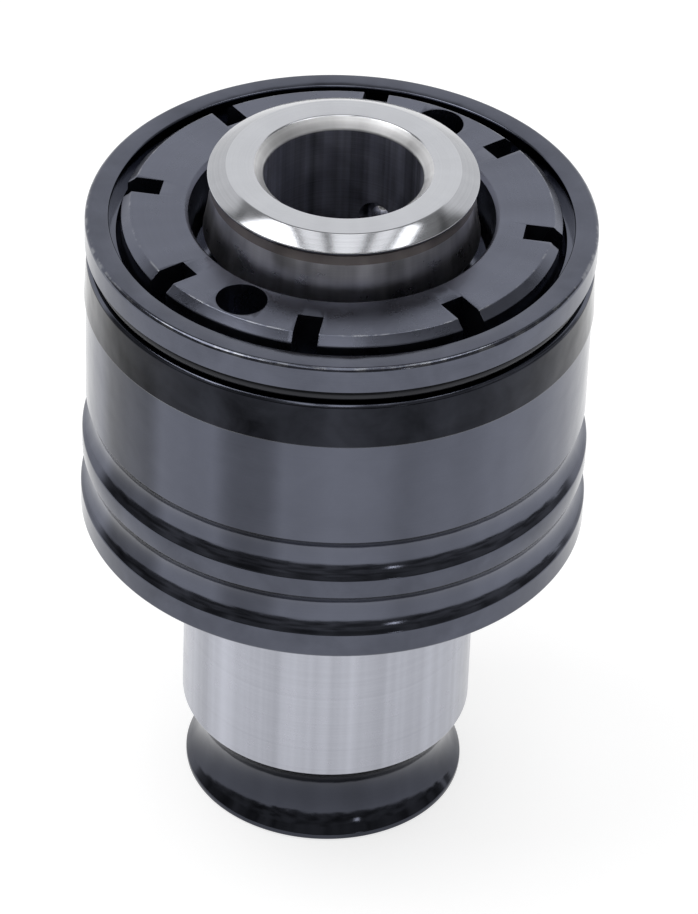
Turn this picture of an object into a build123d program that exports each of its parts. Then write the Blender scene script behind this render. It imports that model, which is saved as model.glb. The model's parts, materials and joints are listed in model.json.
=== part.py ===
"""Quick change tapping adapter with an overload clutch.

A shank of 19 mm plugs into a quick change chuck. The head on top of it is a cup
that holds a spring loaded ball clutch, and a spindle that takes the tap. Pressing
the bright sleeve at the front frees the tap.

Frame: +Z points to the tap, and the origin is on the axis, level with the top
face of the cup's rim. Millimetres and degrees.
"""
import math
import os

from build123d import *

# Tap and sleeve
TAP_D = 10.0
SQUARE_AF = 8.0
SQUARE_PLAY = 0.06
SLEEVE_TOP = 3.8
LEAD_IN = 0.65
FACE_R = 7.3
SLEEVE_R = 8.5
FACE_CHAMFER_H = 0.6
EDGE_BAND_H = 0.15
NECK_R = 8.25
NECK_END_Z = 2.2
FLARE_TOP_R = 8.3
FLARE_SAG = 0.06
SKIRT_R = 8.72
SKIRT_END_Z = -0.9
TUBE_WALL = 1.15
TUBE_FOOT = 0.7
SLEEVE_TRAVEL = 1.8

# Tap locking balls, held in the sleeve's tube and wedged by the cone
LOCK_BALL_D = 2.4
LOCK_BALL_Z = -3.3
LOCK_BALL_COUNT = 3
LOCK_BALL_ANGLE = 60.0
LOCK_BALL_FLUSH = 0.02
CONE_SLOPE = 0.2

# Nose of the spindle
NOSE_TOP_Z = -1.3
NOSE_LIP = 0.55
NOSE_R = 7.8
SPINDLE_R = 9.2
NOSE_STEP_Z = -3.0
SPINDLE_TOP_Z = -4.6
SPIGOT_R = 8.55
STOP_WASHER_T = 0.8
SEAT_RING_T = 0.8
SEAT_RING_R = 7.5
SEAT_GROOVE_DEPTH = 0.4
CHAMBER_R = 7.9
CHAMBER_END_Z = -14.0
SPRING_WIRE = 0.7
SPRING_MEAN_R = 6.95
SPRING_TURNS = 4.5
SEAT_RING_SPLIT = 1.4

# Spindle below the nose
CLUTCH_FLANGE_T = 3.8
JOURNAL_R = 6.9
SOCKET_LEAD_L = 1.6
SOCKET_DEPTH = 9.4
SPINDLE_FLOOR = 1.5
AIR_HOLE_D = 5.0

# Cup and shank, one piece
BODY_R = 16.0
RIM_RISE = 0.1
RIM_ROUND = 0.3
RIM_BAND_H = 1.75
RIDGE_RISE = 0.12
RIDGE_Z = -5.9
RIDGE_STEP = 0.12
LIP_CHAMFER = 0.18
BODY_END_Z = -13.4
COVE_DEPTH = 0.6
RIB_RISE = 0.22
RIB_TOP_Z = -16.3
RIB_END_Z = -17.6
FLANGE_RISE = 0.3
FLANGE_TOP_Z = -20.6
HEAD_UNDERSIDE_Z = -22.4
FLANGE_EDGE = 0.2
SHANK_D = 19.0
SHANK_L = 21.5
LOCK_GROOVE_TOP = 15.5
LOCK_GROOVE_DEPTH = 1.35
FOOT_R = 9.2
FOOT_BAND_H = 0.45
FOOT_EDGE = 0.15
RELIEF_W = 0.4
RELIEF_H = 0.8
RELIEF_DEPTH = 0.25
MOUTH_WALL = 1.4
MOUTH_H = 1.2
CUP_WALL = 1.85
CUP_FLOOR_Z = -16.5
BUSH_WALL = 1.05
BUSH_L = 8.0
SHANK_BORE_PLAY = 0.5
SHANK_BORE_END_Z = -28.0
AIR_BORE_R = 3.0
DRIVE_BORE_R = 5.5
DRIVE_BORE_L = 7.0
KEYWAY_W = 4.0
KEYWAY_REACH = 7.0

# Adjusting nut and its lock ring
NUT_TOP_Z = 0.5
NUT_BORE_ROOM = 0.9
NUT_BORE_CHAMFER = 0.25
NUT_MOUTH_GAP = 0.75
NUT_CHAMFER_W = 0.55
NUT_LINE_W = 0.4
NUT_LINE_DROP = 0.18
NUT_BOTTOM_Z = -4.6
NUT_SLOTS = 8
NUT_SLOT_W = 1.6
NUT_SLOT_L = 2.35
NUT_SLOT_FLOOR_Z = -3.0
NUT_SLOT_ANGLE = -12.2
SPANNER_HOLE_D = 3.2
SPANNER_HOLE_L = 3.4
SPANNER_HOLES = 2
SPANNER_HOLE_STEP = 1.5
RING_WIRE = 0.84
RING_GROOVE_H = 1.1
RING_GROOVE_DEPTH = 1.15
RING_GAP_ANGLE = 25.0
RING_LEG_ROOM = 1.2
RING_BEND_R = 0.8
RING_SLOT_STEP = 2
RING_SLOT_SIDE = 0.2

# Spring pack, thrust bearing and clutch
WASHER_T = 1.0
DISC_COUNT = 4
DISC_T = 0.55
DISC_RISE = 0.4
PACK_INNER_GAP = 0.3
PACK_OUTER_GAP = 0.55
RACE_T = 1.2
BEARING_BALL_D = 2.0
BEARING_BALLS = 20
RACE_GROOVE = 0.4
RACE_PLAY = 0.03
CAGE_T = 0.6
CLUTCH_BALL_D = 4.0
CLUTCH_BALLS = 6
CLUTCH_DETENTS = 12
CLUTCH_EDGE = 1.9
CLUTCH_DIMPLE = 0.35

# Clearances
RUNNING_FIT = 0.05
THREAD_FIT = 0.05
SLIP_FIT = 0.02
SKIRT_GAP = 0.25
FREE_GAP = 0.3
SEAT_GAP = 0.02
BALL_PLAY = 0.03
CUT_PAST = 1.0

# Worked out from the sizes above
TAP_R = TAP_D / 2
TUBE_R = TAP_R + TUBE_WALL
LEAD_IN_Z = SLEEVE_TOP - LEAD_IN
EDGE_TOP_Z = SLEEVE_TOP - FACE_CHAMFER_H
EDGE_END_Z = EDGE_TOP_Z - EDGE_BAND_H
FLARE_TOP_Z = NECK_END_Z - (FLARE_TOP_R - NECK_R)
FLARE_MID_R = (FLARE_TOP_R + SKIRT_R) / 2 - FLARE_SAG
CAVITY_R = NOSE_R + SKIRT_GAP
CAVITY_TOP_Z = NOSE_TOP_Z + SLEEVE_TRAVEL + FREE_GAP
NOSE_LIP_END_Z = NOSE_TOP_Z - NOSE_LIP
LOCK_BALL_RADIUS = LOCK_BALL_D / 2
LOCK_BALL_PLACE_R = TAP_R + LOCK_BALL_RADIUS + LOCK_BALL_FLUSH
CONE_COS = 1 / math.hypot(1, CONE_SLOPE)
CONE_R_AT_BALL = LOCK_BALL_PLACE_R + (LOCK_BALL_RADIUS + SEAT_GAP) / CONE_COS
SPIGOT_END_Z = LOCK_BALL_Z - SLEEVE_TRAVEL - LOCK_BALL_RADIUS - FREE_GAP
STOP_WASHER_END_Z = SPIGOT_END_Z - STOP_WASHER_T
SEAT_RING_TOP_Z = STOP_WASHER_END_Z - RUNNING_FIT
SEAT_RING_END_Z = SEAT_RING_TOP_Z - SEAT_RING_T
TUBE_END_Z = SEAT_RING_END_Z - TUBE_FOOT
TUBE_GROOVE_R = TUBE_R - SEAT_GROOVE_DEPTH
COIL_START_Z = CHAMBER_END_Z + SPRING_WIRE / 2 + SEAT_GAP
COIL_L = SEAT_RING_END_Z - SPRING_WIRE / 2 - SEAT_GAP - COIL_START_Z
SHANK_R = SHANK_D / 2
RIM_R = BODY_R + RIM_RISE
RIDGE_R = BODY_R + RIDGE_RISE
RIB_R = BODY_R + RIB_RISE
FLANGE_R = BODY_R + FLANGE_RISE
MOUTH_R = BODY_R - MOUTH_WALL
THREAD_R = BODY_R - CUP_WALL
BUSH_R = JOURNAL_R + RUNNING_FIT + BUSH_WALL
SHANK_BORE_R = JOURNAL_R + SHANK_BORE_PLAY
FOOT_Z = HEAD_UNDERSIDE_Z - SHANK_L
LOCK_GROOVE_TOP_Z = HEAD_UNDERSIDE_Z - LOCK_GROOVE_TOP
FOOT_BAND_Z = FOOT_Z + FOOT_BAND_H
DRIVE_FLOOR_Z = FOOT_Z + DRIVE_BORE_L
RELIEF_R = SHANK_R + RELIEF_W
RELIEF_FLOOR_R = SHANK_R - RELIEF_DEPTH
RELIEF_TOP_Z = HEAD_UNDERSIDE_Z + RELIEF_DEPTH
RELIEF_END_Z = HEAD_UNDERSIDE_Z - RELIEF_H
LIP_TOP_R = BODY_R - LIP_CHAMFER
COVE_1_MID = ((BODY_R + RIB_R) / 2 - COVE_DEPTH, (BODY_END_Z + RIB_TOP_Z) / 2)
COVE_2_MID = ((RIB_R + FLANGE_R) / 2 - COVE_DEPTH, (RIB_END_Z + FLANGE_TOP_Z) / 2)
LOCK_GROOVE_MID = (SHANK_R - LOCK_GROOVE_DEPTH, (LOCK_GROOVE_TOP_Z + FOOT_BAND_Z) / 2)
RING_GROOVE_R = RIM_R - RING_GROOVE_DEPTH
RING_GROOVE_TOP_Z = -RIM_BAND_H
RING_GROOVE_END_Z = RING_GROOVE_TOP_Z - RING_GROOVE_H
RING_Z = (RING_GROOVE_TOP_Z + RING_GROOVE_END_Z) / 2
RING_R = RING_GROOVE_R + RING_WIRE / 2 + SEAT_GAP
RING_ANGLE = NUT_SLOT_ANGLE + RING_SLOT_STEP * 360 / NUT_SLOTS
RING_ARC = 360 - RING_GAP_ANGLE
RING_SLOT_W = RING_BEND_R + RING_WIRE + 2 * RING_SLOT_SIDE
SPANNER_HOLE_ANGLE = NUT_SLOT_ANGLE + SPANNER_HOLE_STEP * 360 / NUT_SLOTS
NUT_THREAD_R = THREAD_R - THREAD_FIT
NUT_R = MOUTH_R - NUT_MOUTH_GAP
NUT_FACE_R = NUT_R - NUT_CHAMFER_W
NUT_LINE_R = NUT_R - NUT_LINE_W
NUT_BORE_R = SKIRT_R + NUT_BORE_ROOM
NUT_BORE_TOP_R = NUT_BORE_R + NUT_BORE_CHAMFER
NUT_SLOT_INNER_R = NUT_R - NUT_SLOT_L
SPANNER_HOLE_R = (NUT_BORE_TOP_R + NUT_FACE_R) / 2
RING_LEG_R = NUT_SLOT_INNER_R + RING_LEG_ROOM
NUT_RELIEF_Z = -MOUTH_H - NUT_BORE_CHAMFER
NUT_THREAD_TOP_Z = NUT_RELIEF_Z - (NUT_THREAD_R - NUT_R)
SLOT_END_R = NUT_THREAD_R + CUT_PAST
PACK_INNER_R = SPINDLE_R + PACK_INNER_GAP
PACK_OUTER_R = THREAD_R - PACK_OUTER_GAP
WASHER_END_Z = NUT_BOTTOM_Z - WASHER_T
DISC_H = DISC_T + DISC_RISE
RACE_TOP_Z = WASHER_END_Z - DISC_COUNT * (DISC_H + SEAT_GAP)
RACE_END_Z = RACE_TOP_Z - RACE_T
BEARING_BALL_R = BEARING_BALL_D / 2
BEARING_R = (PACK_INNER_R + PACK_OUTER_R) / 2
BEARING_Z = RACE_END_Z - (BEARING_BALL_R - RACE_GROOVE)
CLUTCH_FLANGE_TOP_Z = BEARING_Z - (BEARING_BALL_R - RACE_GROOVE)
CLUTCH_FLANGE_END_Z = CLUTCH_FLANGE_TOP_Z - CLUTCH_FLANGE_T
CLUTCH_BALL_R = CLUTCH_BALL_D / 2
CLUTCH_FLANGE_R = PACK_OUTER_R
CLUTCH_R = CLUTCH_FLANGE_R - CLUTCH_EDGE
CLUTCH_BALL_Z = CLUTCH_FLANGE_END_Z - RUNNING_FIT - CLUTCH_BALL_R
CLUTCH_DIMPLE_Z = CLUTCH_FLANGE_END_Z + CLUTCH_DIMPLE - CLUTCH_BALL_R
SOCKET_TOP_Z = CHAMBER_END_Z - SOCKET_LEAD_L
SOCKET_END_Z = SOCKET_TOP_Z - SOCKET_DEPTH
SPINDLE_END_Z = SOCKET_END_Z - SPINDLE_FLOOR
SOCKET_AF = SQUARE_AF + SQUARE_PLAY
BUSH_END_Z = CUP_FLOOR_Z - BUSH_L
CLUTCH_SEAT_Z = CLUTCH_BALL_Z - CLUTCH_BALL_R - SEAT_GAP


def section(*corners):
    """A closed face of straight runs in the XZ plane, from radius and height pairs."""
    with BuildSketch(Plane.XZ) as face:
        with BuildLine():
            Polyline(*corners, close=True)
        make_face()
    return face.sketch


def ring(inner_r, outer_r, end_z, top_z):
    """The section of a plain flat ring."""
    return section((inner_r, end_z), (outer_r, end_z), (outer_r, top_z), (inner_r, top_z))


def polar(radius, angle):
    """The point at a radius and an angle about the axis."""
    turn = math.radians(angle)
    return (radius * math.cos(turn), radius * math.sin(turn))


def facing(angle, height, offset=0.0):
    """A plane that faces outwards at an angle about the axis, its X tangential."""
    return Plane(
        origin=(*polar(offset, angle), height),
        x_dir=(*polar(1, angle + 90), 0),
        z_dir=(*polar(1, angle), 0),
    )


def keep(builder, name):
    """Label a finished piece and write its file."""
    builder.part.label = name
    export_step(builder.part, f"parts/{name}.step")


os.makedirs("parts", exist_ok=True)

# Cup, flange, shank and foot in one turned piece, with two coves and a ball groove
with BuildPart() as body_and_shank:
    with BuildSketch(Plane.XZ):
        with BuildLine():
            Line((MOUTH_R, 0), (RIM_R - RIM_ROUND, 0))
            JernArc((RIM_R - RIM_ROUND, 0), (1, 0), RIM_ROUND, -90)
            Polyline(
                (RIM_R, -RIM_ROUND),
                (RIM_R, RING_GROOVE_TOP_Z),
                (RING_GROOVE_R, RING_GROOVE_TOP_Z),
                (RING_GROOVE_R, RING_GROOVE_END_Z),
                (LIP_TOP_R, RING_GROOVE_END_Z),
                (BODY_R, RING_GROOVE_END_Z - LIP_CHAMFER),
                (RIDGE_R, RIDGE_Z),
                (BODY_R, RIDGE_Z - RIDGE_STEP),
                (BODY_R, BODY_END_Z),
            )
            ThreePointArc((BODY_R, BODY_END_Z), COVE_1_MID, (RIB_R, RIB_TOP_Z))
            Line((RIB_R, RIB_TOP_Z), (RIB_R, RIB_END_Z))
            ThreePointArc((RIB_R, RIB_END_Z), COVE_2_MID, (FLANGE_R, FLANGE_TOP_Z))
            Polyline(
                (FLANGE_R, FLANGE_TOP_Z),
                (FLANGE_R, HEAD_UNDERSIDE_Z + FLANGE_EDGE),
                (FLANGE_R - FLANGE_EDGE, HEAD_UNDERSIDE_Z),
                (RELIEF_R, HEAD_UNDERSIDE_Z),
                (RELIEF_R, RELIEF_TOP_Z),
                (RELIEF_FLOOR_R, RELIEF_TOP_Z),
                (RELIEF_FLOOR_R, RELIEF_END_Z),
                (SHANK_R, RELIEF_END_Z - RELIEF_DEPTH),
                (SHANK_R, LOCK_GROOVE_TOP_Z),
            )
            ThreePointArc((SHANK_R, LOCK_GROOVE_TOP_Z), LOCK_GROOVE_MID, (FOOT_R, FOOT_BAND_Z))
            Polyline(
                (FOOT_R, FOOT_BAND_Z),
                (FOOT_R, FOOT_Z + FOOT_EDGE),
                (FOOT_R - FOOT_EDGE, FOOT_Z),
                (DRIVE_BORE_R, FOOT_Z),
                (DRIVE_BORE_R, DRIVE_FLOOR_Z),
                (AIR_BORE_R, DRIVE_FLOOR_Z),
                (AIR_BORE_R, SHANK_BORE_END_Z),
                (SHANK_BORE_R, SHANK_BORE_END_Z),
                (SHANK_BORE_R, BUSH_END_Z),
                (BUSH_R, BUSH_END_Z),
                (BUSH_R, CUP_FLOOR_Z),
                (THREAD_R, CUP_FLOOR_Z),
                (THREAD_R, -MOUTH_H),
                (MOUTH_R, -MOUTH_H),
                (MOUTH_R, 0),
            )
        make_face()
    revolve(axis=Axis.Z)
    with BuildSketch(Plane.XY.offset(CUP_FLOOR_Z)):
        with PolarLocations(CLUTCH_R, CLUTCH_BALLS):
            Circle(CLUTCH_BALL_R + BALL_PLAY)
    extrude(amount=CLUTCH_SEAT_Z - CUP_FLOOR_Z, mode=Mode.SUBTRACT)
    with BuildSketch(Plane.XY.offset(FOOT_Z)):
        Rectangle(2 * KEYWAY_REACH, KEYWAY_W)
    extrude(amount=DRIVE_BORE_L, mode=Mode.SUBTRACT)
    with BuildSketch(facing(RING_ANGLE, RING_Z, THREAD_R - CUT_PAST)):
        with Locations((RING_BEND_R / 2, 0)):
            Rectangle(RING_SLOT_W, RING_GROOVE_H)
    extrude(amount=RING_R - THREAD_R + CUT_PAST, mode=Mode.SUBTRACT)
keep(body_and_shank, "body_and_shank")

# Adjusting nut with eight slots and two spanner holes
with BuildPart() as adjusting_nut:
    revolve(
        section(
            (NUT_BORE_TOP_R, NUT_TOP_Z),
            (NUT_FACE_R, NUT_TOP_Z),
            (NUT_LINE_R, NUT_TOP_Z - NUT_LINE_DROP),
            (NUT_R, 0),
            (NUT_R, NUT_RELIEF_Z),
            (NUT_THREAD_R, NUT_THREAD_TOP_Z),
            (NUT_THREAD_R, NUT_BOTTOM_Z),
            (NUT_BORE_R, NUT_BOTTOM_Z),
            (NUT_BORE_R, NUT_TOP_Z - NUT_BORE_CHAMFER),
        ),
        axis=Axis.Z,
    )
    with BuildSketch(Plane.XY.offset(NUT_SLOT_FLOOR_Z)):
        with PolarLocations((NUT_SLOT_INNER_R + SLOT_END_R) / 2, NUT_SLOTS, NUT_SLOT_ANGLE):
            Rectangle(SLOT_END_R - NUT_SLOT_INNER_R, NUT_SLOT_W)
    extrude(amount=NUT_TOP_Z - NUT_SLOT_FLOOR_Z + CUT_PAST, mode=Mode.SUBTRACT)
    with BuildSketch(Plane.XY.offset(NUT_TOP_Z)):
        with PolarLocations(SPANNER_HOLE_R, SPANNER_HOLES, SPANNER_HOLE_ANGLE):
            Circle(SPANNER_HOLE_D / 2)
    extrude(amount=-SPANNER_HOLE_L, mode=Mode.SUBTRACT)
keep(adjusting_nut, "adjusting_nut")

# Wire ring in the rim's groove, its end bent inwards through the wall into a nut slot
with BuildPart() as lock_ring:
    with BuildLine(Plane.XY.offset(RING_Z)) as ring_line:
        CenterArc((0, 0), RING_R, RING_ANGLE, RING_ARC)
        Line(polar(RING_R, RING_ANGLE), polar(RING_LEG_R, RING_ANGLE))
        corner = (*polar(RING_R, RING_ANGLE), RING_Z)
        fillet(ring_line.vertices().sort_by_distance(corner)[0], RING_BEND_R)
    with BuildSketch(Plane(ring_line.line @ 0, z_dir=ring_line.line % 0)):
        Circle(RING_WIRE / 2)
    sweep(path=ring_line.line)
keep(lock_ring, "lock_ring")

# Thick washer between the nut and the springs
with BuildPart() as pressure_washer:
    revolve(ring(PACK_INNER_R, PACK_OUTER_R, WASHER_END_Z, NUT_BOTTOM_Z), axis=Axis.Z)
keep(pressure_washer, "pressure_washer")

# Disc springs, stacked the opposite way round in turn
for number in range(DISC_COUNT):
    disc_z = WASHER_END_Z - (number + 1) * (DISC_H + SEAT_GAP)
    inner_rise = DISC_RISE * ((number + 1) % 2)
    outer_rise = DISC_RISE - inner_rise
    with BuildPart() as disc_spring:
        revolve(
            section(
                (PACK_INNER_R, disc_z + inner_rise),
                (PACK_OUTER_R, disc_z + outer_rise),
                (PACK_OUTER_R, disc_z + outer_rise + DISC_T),
                (PACK_INNER_R, disc_z + inner_rise + DISC_T),
            ),
            axis=Axis.Z,
        )
    keep(disc_spring, f"disc_spring_{number + 1}")

# Upper race of the thrust bearing
with BuildPart() as bearing_race:
    revolve(ring(PACK_INNER_R, PACK_OUTER_R, RACE_END_Z, RACE_TOP_Z), axis=Axis.Z)
    with Locations((0, 0, BEARING_Z)):
        Torus(BEARING_R, BEARING_BALL_R + RACE_PLAY, mode=Mode.SUBTRACT)
keep(bearing_race, "bearing_race")

# Cage and balls of the thrust bearing
with BuildPart() as bearing_cage:
    revolve(
        ring(PACK_INNER_R, PACK_OUTER_R, BEARING_Z - CAGE_T / 2, BEARING_Z + CAGE_T / 2),
        axis=Axis.Z,
    )
    with BuildSketch(Plane.XY.offset(BEARING_Z - CAGE_T)):
        with PolarLocations(BEARING_R, BEARING_BALLS):
            Circle(BEARING_BALL_R + RUNNING_FIT)
    extrude(amount=2 * CAGE_T, mode=Mode.SUBTRACT)
keep(bearing_cage, "bearing_cage")

with BuildPart(Plane.XY.offset(BEARING_Z)) as bearing_balls:
    with PolarLocations(BEARING_R, BEARING_BALLS):
        Sphere(BEARING_BALL_R)
keep(bearing_balls, "bearing_balls")

# Spindle with its clutch flange, the chamber for the sleeve's spring and the square socket
with BuildPart() as spindle:
    revolve(
        section(
            (SPIGOT_R, SPINDLE_TOP_Z),
            (SPINDLE_R, SPINDLE_TOP_Z),
            (SPINDLE_R, CLUTCH_FLANGE_TOP_Z),
            (CLUTCH_FLANGE_R, CLUTCH_FLANGE_TOP_Z),
            (CLUTCH_FLANGE_R, CLUTCH_FLANGE_END_Z),
            (JOURNAL_R, CLUTCH_FLANGE_END_Z),
            (JOURNAL_R, SPINDLE_END_Z + FLANGE_EDGE),
            (JOURNAL_R - FLANGE_EDGE, SPINDLE_END_Z),
            (AIR_HOLE_D / 2, SPINDLE_END_Z),
            (AIR_HOLE_D / 2, SOCKET_TOP_Z),
            (TAP_R + SLIP_FIT, SOCKET_TOP_Z),
            (TAP_R + SLIP_FIT, CHAMBER_END_Z),
            (CHAMBER_R, CHAMBER_END_Z),
            (CHAMBER_R, STOP_WASHER_END_Z),
            (SPIGOT_R, STOP_WASHER_END_Z),
        ),
        axis=Axis.Z,
    )
    with BuildSketch(Plane.XY.offset(SOCKET_END_Z)):
        Rectangle(SOCKET_AF, SOCKET_AF)
    extrude(amount=SOCKET_DEPTH, mode=Mode.SUBTRACT)
    with Locations((0, 0, BEARING_Z)):
        Torus(BEARING_R, BEARING_BALL_R + RACE_PLAY, mode=Mode.SUBTRACT)
    with Locations((0, 0, CLUTCH_DIMPLE_Z)):
        with PolarLocations(CLUTCH_R, CLUTCH_DETENTS):
            Sphere(CLUTCH_BALL_R, mode=Mode.SUBTRACT)
keep(spindle, "spindle")

# Balls of the overload clutch, sunk in the cup's floor, at the height where they roll
# from one dimple of the flange to the next
with BuildPart(Plane.XY.offset(CLUTCH_BALL_Z)) as clutch_balls:
    with PolarLocations(CLUTCH_R, CLUTCH_BALLS):
        Sphere(CLUTCH_BALL_R)
keep(clutch_balls, "clutch_balls")

# Plain bush that carries the spindle's journal
with BuildPart() as spindle_bush:
    revolve(ring(JOURNAL_R + RUNNING_FIT, BUSH_R, BUSH_END_Z, CUP_FLOOR_Z), axis=Axis.Z)
keep(spindle_bush, "spindle_bush")

# Nose piece, screwed into the spindle, with the cone that wedges the locking balls
with BuildPart() as clamping_cone:
    revolve(
        section(
            (TUBE_R + RUNNING_FIT, NOSE_TOP_Z),
            (NOSE_R, NOSE_TOP_Z),
            (NOSE_R, NOSE_STEP_Z),
            (SPINDLE_R, NOSE_STEP_Z),
            (SPINDLE_R, SPINDLE_TOP_Z),
            (SPIGOT_R, SPINDLE_TOP_Z),
            (SPIGOT_R, SPIGOT_END_Z),
            (CONE_R_AT_BALL + CONE_SLOPE * (LOCK_BALL_Z - SPIGOT_END_Z), SPIGOT_END_Z),
            (CONE_R_AT_BALL + CONE_SLOPE * (LOCK_BALL_Z - NOSE_LIP_END_Z), NOSE_LIP_END_Z),
            (TUBE_R + RUNNING_FIT, NOSE_LIP_END_Z),
        ),
        axis=Axis.Z,
    )
keep(clamping_cone, "clamping_cone")

# Washer below the cone that stops the sleeve's seat ring
with BuildPart() as stop_washer:
    revolve(ring(TUBE_R + RUNNING_FIT, SPIGOT_R, STOP_WASHER_END_Z, SPIGOT_END_Z), axis=Axis.Z)
keep(stop_washer, "stop_washer")

# Split ring on the sleeve's tube: it stops the sleeve, and the spring pushes on it
with BuildPart() as seat_ring:
    revolve(
        ring(TUBE_GROOVE_R, SEAT_RING_R, SEAT_RING_END_Z, SEAT_RING_TOP_Z),
        axis=Axis.Z,
    )
    with BuildSketch(Plane.XY.offset(SEAT_RING_END_Z)):
        with Locations((SEAT_RING_R, 0)):
            Rectangle(SEAT_RING_R, SEAT_RING_SPLIT)
    extrude(amount=SEAT_RING_T, mode=Mode.SUBTRACT)
keep(seat_ring, "seat_ring")

# Coil spring that pushes the sleeve out
with BuildPart() as sleeve_spring:
    with BuildLine() as coil:
        Helix(COIL_L / SPRING_TURNS, COIL_L, SPRING_MEAN_R, center=(0, 0, COIL_START_Z))
    with BuildSketch(Plane(coil.line @ 0, z_dir=coil.line % 0)):
        Circle(SPRING_WIRE / 2)
    sweep(path=coil.line)
keep(sleeve_spring, "sleeve_spring")

# Release sleeve: bright face, necked collar with a flared skirt, and the ball tube
with BuildPart() as release_sleeve:
    with BuildSketch(Plane.XZ):
        with BuildLine():
            Polyline(
                (TAP_R, LEAD_IN_Z),
                (TAP_R + LEAD_IN, SLEEVE_TOP),
                (FACE_R, SLEEVE_TOP),
                (SLEEVE_R, EDGE_TOP_Z),
                (SLEEVE_R, EDGE_END_Z),
                (NECK_R, EDGE_END_Z - (SLEEVE_R - NECK_R)),
                (NECK_R, NECK_END_Z),
                (FLARE_TOP_R, FLARE_TOP_Z),
            )
            ThreePointArc(
                (FLARE_TOP_R, FLARE_TOP_Z),
                (FLARE_MID_R, (NECK_END_Z + SKIRT_END_Z) / 2),
                (SKIRT_R, SKIRT_END_Z),
            )
            Polyline(
                (SKIRT_R, SKIRT_END_Z),
                (CAVITY_R, SKIRT_END_Z),
                (CAVITY_R, CAVITY_TOP_Z),
                (TUBE_R, CAVITY_TOP_Z),
                (TUBE_R, SEAT_RING_TOP_Z),
                (TUBE_GROOVE_R, SEAT_RING_TOP_Z),
                (TUBE_GROOVE_R, SEAT_RING_END_Z),
                (TUBE_R, SEAT_RING_END_Z),
                (TUBE_R, TUBE_END_Z),
                (TAP_R, TUBE_END_Z),
                (TAP_R, LEAD_IN_Z),
            )
        make_face()
    revolve(axis=Axis.Z)
    for number in range(LOCK_BALL_COUNT):
        ball_angle = LOCK_BALL_ANGLE + number * 360 / LOCK_BALL_COUNT
        with BuildSketch(facing(ball_angle, LOCK_BALL_Z, TAP_R - CUT_PAST)):
            Circle(LOCK_BALL_RADIUS + BALL_PLAY)
        extrude(amount=TUBE_WALL + 2 * CUT_PAST, mode=Mode.SUBTRACT)
keep(release_sleeve, "release_sleeve")

# Locking balls, each in its own hole of the tube
for number in range(LOCK_BALL_COUNT):
    ball_angle = LOCK_BALL_ANGLE + number * 360 / LOCK_BALL_COUNT
    with BuildPart(facing(ball_angle, LOCK_BALL_Z, LOCK_BALL_PLACE_R)) as locking_ball:
        Sphere(LOCK_BALL_RADIUS)
    keep(locking_ball, f"locking_ball_{number + 1}")
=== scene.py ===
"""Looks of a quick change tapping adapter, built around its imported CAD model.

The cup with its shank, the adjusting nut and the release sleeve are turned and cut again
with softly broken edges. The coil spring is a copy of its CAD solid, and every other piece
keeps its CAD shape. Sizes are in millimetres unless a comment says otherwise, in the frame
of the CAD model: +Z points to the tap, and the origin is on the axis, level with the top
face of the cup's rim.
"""
import json
import math

import bmesh
import bpy
from bpy.props import FloatProperty, FloatVectorProperty, IntProperty, PointerProperty
from mathutils import Matrix, Vector


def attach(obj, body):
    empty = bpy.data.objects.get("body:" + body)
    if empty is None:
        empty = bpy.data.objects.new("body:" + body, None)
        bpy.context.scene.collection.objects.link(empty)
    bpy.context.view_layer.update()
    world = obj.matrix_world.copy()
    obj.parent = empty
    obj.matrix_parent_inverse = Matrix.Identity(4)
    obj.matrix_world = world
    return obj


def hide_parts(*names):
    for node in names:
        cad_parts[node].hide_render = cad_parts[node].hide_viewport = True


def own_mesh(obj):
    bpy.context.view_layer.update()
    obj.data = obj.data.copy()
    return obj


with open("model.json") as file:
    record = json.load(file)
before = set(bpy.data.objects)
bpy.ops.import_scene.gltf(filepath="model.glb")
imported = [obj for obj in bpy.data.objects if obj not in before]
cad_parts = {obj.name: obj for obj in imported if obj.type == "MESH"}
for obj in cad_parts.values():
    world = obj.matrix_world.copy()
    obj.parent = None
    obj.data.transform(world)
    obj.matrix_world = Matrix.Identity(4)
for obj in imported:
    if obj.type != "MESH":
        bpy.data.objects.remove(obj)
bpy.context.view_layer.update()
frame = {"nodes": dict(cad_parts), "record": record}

bl_info = {
    "name": "Tapping adapter looks",
    "version": (1, 0, 0),
    "blender": (4, 5, 0),
    "location": "3D View > Sidebar > Adapter",
    "description": "Turns, cuts and finishes the visible pieces of a quick change tapping adapter",
    "category": "Object",
}

MM = 0.001

# Release sleeve
TAP_R = 5.0
SLEEVE_TOP = 3.8
LEAD_IN = 0.65
FACE_R = 7.3
SLEEVE_R = 8.5
EDGE_TOP_Z = 3.2
EDGE_END_Z = 3.05
NECK_R = 8.25
NECK_TOP_Z = 2.8
FLARE_TOP_R = 8.3
FLARE_TOP_Z = 2.15
FLARE_MID = (8.45, 0.65)
SKIRT_R = 8.72
SKIRT_END_Z = -0.9
CAVITY_R = 8.05
CAVITY_TOP_Z = 0.8
TUBE_R = 6.15
TUBE_END_Z = -8.95
TUBE_GROOVE_R = 5.75
SEAT_RING_TOP_Z = -7.45
SEAT_RING_END_Z = -8.25
LOCK_BALLS = 3
LOCK_BALL_Z = -3.3
LOCK_BALL_ANGLE = 60.0
LOCK_HOLE_R = 1.23
LOCK_HOLE_L = 4.0

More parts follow.
